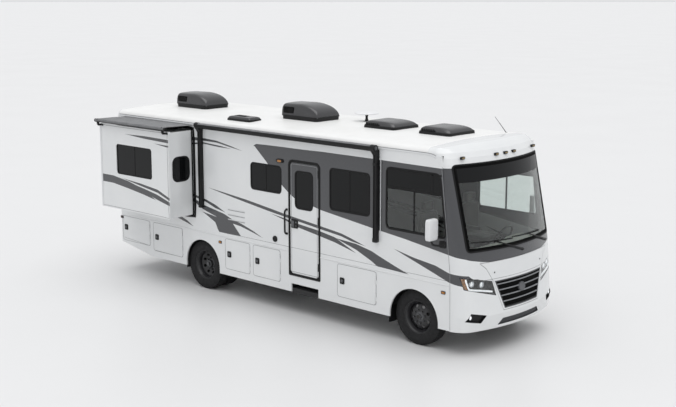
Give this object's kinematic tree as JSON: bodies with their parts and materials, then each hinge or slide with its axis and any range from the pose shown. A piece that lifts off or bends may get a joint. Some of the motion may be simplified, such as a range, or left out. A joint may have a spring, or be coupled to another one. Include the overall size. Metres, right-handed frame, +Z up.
{
  "type": "motorhome",
  "caption": "Class A motorhome with a room that slides out, hinged doors, lifting hood, steering front wheels and twin rear wheels.",
  "frame": {"origin": "middle of the coach's bounding box, on the ground", "axes": "+X forward along the coach, +Y to its left, +Z up"},
  "size_m": [9.184, 3.5509, 3.69],
  "materials": {
    "black_steel": "satin",
    "floor_vinyl": "matt",
    "step_black": "matt",
    "white_gelcoat": "gloss",
    "roof_skin": "satin",
    "clear_glass": "gloss",
    "dark_glass": "gloss",
    "black_rubber": "matt",
    "topper_cloth": "matt",
    "awning_metal": "satin",
    "charcoal_plastic": "satin",
    "lamp_clear": "gloss",
    "lamp_amber": "gloss",
    "white_plastic": "satin",
    "black_plastic": "satin",
    "dash_plastic": "matt",
    "seat_fabric": "matt",
    "cast_block": "matt",
    "exhaust_steel": "satin",
    "bay_steel": "satin",
    "tyre_rubber": "matt",
    "wheel_black": "satin"
  },
  "bodies": {
    "coach": {"chassis_frame": "black_steel", "hitch_receiver": "black_steel", "cabin_floor": "floor_vinyl", "entry_stairs": "floor_vinyl", "right_wall": "white_gelcoat", "left_wall": "white_gelcoat", "roof": "roof_skin", "front_cap": "white_gelcoat", "rear_cap": "white_gelcoat", "right_skirt": "white_gelcoat", "left_skirt": "white_gelcoat", "windshield": "clear_glass", "cab_windows": "clear_glass", "cabin_windows": "dark_glass", "entry_door_frame": "black_rubber", "slide_seal": "black_rubber", "awning": "awning_metal", "roof_air_conditioners": "charcoal_plastic", "roof_vents": "charcoal_plastic", "headlamps": "lamp_clear", "body_lamps": "lamp_amber", "mirrors": "white_plastic", "wipers": "black_rubber", "dashboard": "dash_plastic", "cab_seats": "seat_fabric", "engine": "cast_block", "driveshaft": "black_steel", "tanks": "black_plastic", "exhaust": "exhaust_steel", "axles": "black_steel", "leaf_springs": "black_steel", "wheel_wells": "black_plastic", "storage_bays": "bay_steel"},
    "entry_door": {"entry_door": "white_gelcoat", "entry_door_window": "dark_glass"},
    "entry_step": {"entry_step": "step_black"},
    "hood": {"hood": "white_gelcoat", "grille": "black_plastic"},
    "slide_room": {"slide_room": "white_gelcoat", "slide_windows": "dark_glass", "topper_roller": "black_steel", "topper_fabric": "topper_cloth"},
    "steering_right": {"knuckle_right": "cast_block"},
    "steering_left": {"knuckle_left": "cast_block"},
    "wheel_front_right": {"rim_front_right": "wheel_black", "tyre_front_right": "tyre_rubber"},
    "wheel_front_left": {"rim_front_left": "wheel_black", "tyre_front_left": "tyre_rubber"},
    "wheels_rear_right": {"rims_rear_right": "wheel_black", "tyres_rear_right": "tyre_rubber"},
    "wheels_rear_left": {"rims_rear_left": "wheel_black", "tyres_rear_left": "tyre_rubber"},
    "baggage_door_right_1": {"baggage_door_right_1": "white_gelcoat"},
    "baggage_door_right_2": {"baggage_door_right_2": "white_gelcoat"},
    "baggage_door_right_3": {"baggage_door_right_3": "white_gelcoat"},
    "baggage_door_right_4": {"baggage_door_right_4": "white_gelcoat"},
    "baggage_door_right_5": {"baggage_door_right_5": "white_gelcoat"},
    "baggage_door_left_1": {"baggage_door_left_1": "white_gelcoat"},
    "baggage_door_left_2": {"baggage_door_left_2": "white_gelcoat"},
    "baggage_door_left_3": {"baggage_door_left_3": "white_gelcoat"}
  },
  "joints": [
    {"name": "entry_door_hinge", "type": "hinge", "parent": "coach", "child": "entry_door", "pos_m": [1.18482, -1.0653, 1.7], "axis": [0, 0, 1], "range_deg": [0, 110]},
    {"name": "entry_step_slide", "type": "slide", "parent": "coach", "child": "entry_step", "axis": [0, -1, 0], "range_m": [0, 0.25]},
    {"name": "hood_hinge", "type": "hinge", "parent": "coach", "child": "hood", "pos_m": [4.447, 0.2255, 1.6], "axis": [0, -1, 0], "range_deg": [0, 60]},
    {"name": "slide_room_travel", "type": "slide", "parent": "coach", "child": "slide_room", "axis": [0, 1, 0], "range_m": [0, 0.535], "deforming": ["topper_fabric"]},
    {"name": "baggage_door_right_1_hinge", "type": "hinge", "parent": "coach", "child": "baggage_door_right_1", "pos_m": [-3.54494, -1.0653, 0.8635], "axis": [0, 0, 1], "range_deg": [0, 100]},
    {"name": "baggage_door_right_2_hinge", "type": "hinge", "parent": "coach", "child": "baggage_door_right_2", "pos_m": [-2.52071, -1.0653, 0.825], "axis": [0, 0, 1], "range_deg": [0, 100]},
    {"name": "baggage_door_right_3_hinge", "type": "hinge", "parent": "coach", "child": "baggage_door_right_3", "pos_m": [-0.58502, -1.0653, 0.82], "axis": [0, 0, 1], "range_deg": [0, 100]},
    {"name": "baggage_door_right_4_hinge", "type": "hinge", "parent": "coach", "child": "baggage_door_right_4", "pos_m": [0.21799, -1.0653, 0.82], "axis": [0, 0, 1], "range_deg": [0, 100]},
    {"name": "baggage_door_right_5_hinge", "type": "hinge", "parent": "coach", "child": "baggage_door_right_5", "pos_m": [2.51504, -1.0653, 0.82], "axis": [0, 0, 1], "range_deg": [0, 100]},
    {"name": "baggage_door_left_1_hinge", "type": "hinge", "parent": "coach", "child": "baggage_door_left_1", "pos_m": [-2.52071, 1.5163, 0.825], "axis": [0, 0, -1], "range_deg": [0, 100]},
    {"name": "baggage_door_left_2_hinge", "type": "hinge", "parent": "coach", "child": "baggage_door_left_2", "pos_m": [0.21799, 1.5163, 0.82], "axis": [0, 0, -1], "range_deg": [0, 100]},
    {"name": "baggage_door_left_3_hinge", "type": "hinge", "parent": "coach", "child": "baggage_door_left_3", "pos_m": [2.51504, 1.5163, 0.82], "axis": [0, 0, -1], "range_deg": [0, 100]},
    {"name": "steering_right_pivot", "type": "hinge", "parent": "coach", "child": "steering_right", "pos_m": [3.342, -0.6545, 0.4725], "axis": [0, 0, 1], "range_deg": [-38, 38]},
    {"name": "wheel_front_right_spin", "type": "hinge", "parent": "steering_right", "child": "wheel_front_right", "pos_m": [3.342, -0.8495, 0.4725], "axis": [0, 1, 0], "continuous": true},
    {"name": "wheels_rear_right_spin", "type": "hinge", "parent": "coach", "child": "wheels_rear_right", "pos_m": [-1.941, -0.717, 0.4725], "axis": [0, 1, 0], "continuous": true},
    {"name": "steering_left_pivot", "type": "hinge", "parent": "coach", "child": "steering_left", "pos_m": [3.342, 1.1055, 0.4725], "axis": [0, 0, 1], "range_deg": [-38, 38]},
    {"name": "wheel_front_left_spin", "type": "hinge", "parent": "steering_left", "child": "wheel_front_left", "pos_m": [3.342, 1.3005, 0.4725], "axis": [0, 1, 0], "continuous": true},
    {"name": "wheels_rear_left_spin", "type": "hinge", "parent": "coach", "child": "wheels_rear_left", "pos_m": [-1.941, 1.168, 0.4725], "axis": [0, 1, 0], "continuous": true}
  ],
  "couplings": [
    {"joint": "steering_left_pivot", "follows": "steering_right_pivot", "ratio": 1}
  ]
}
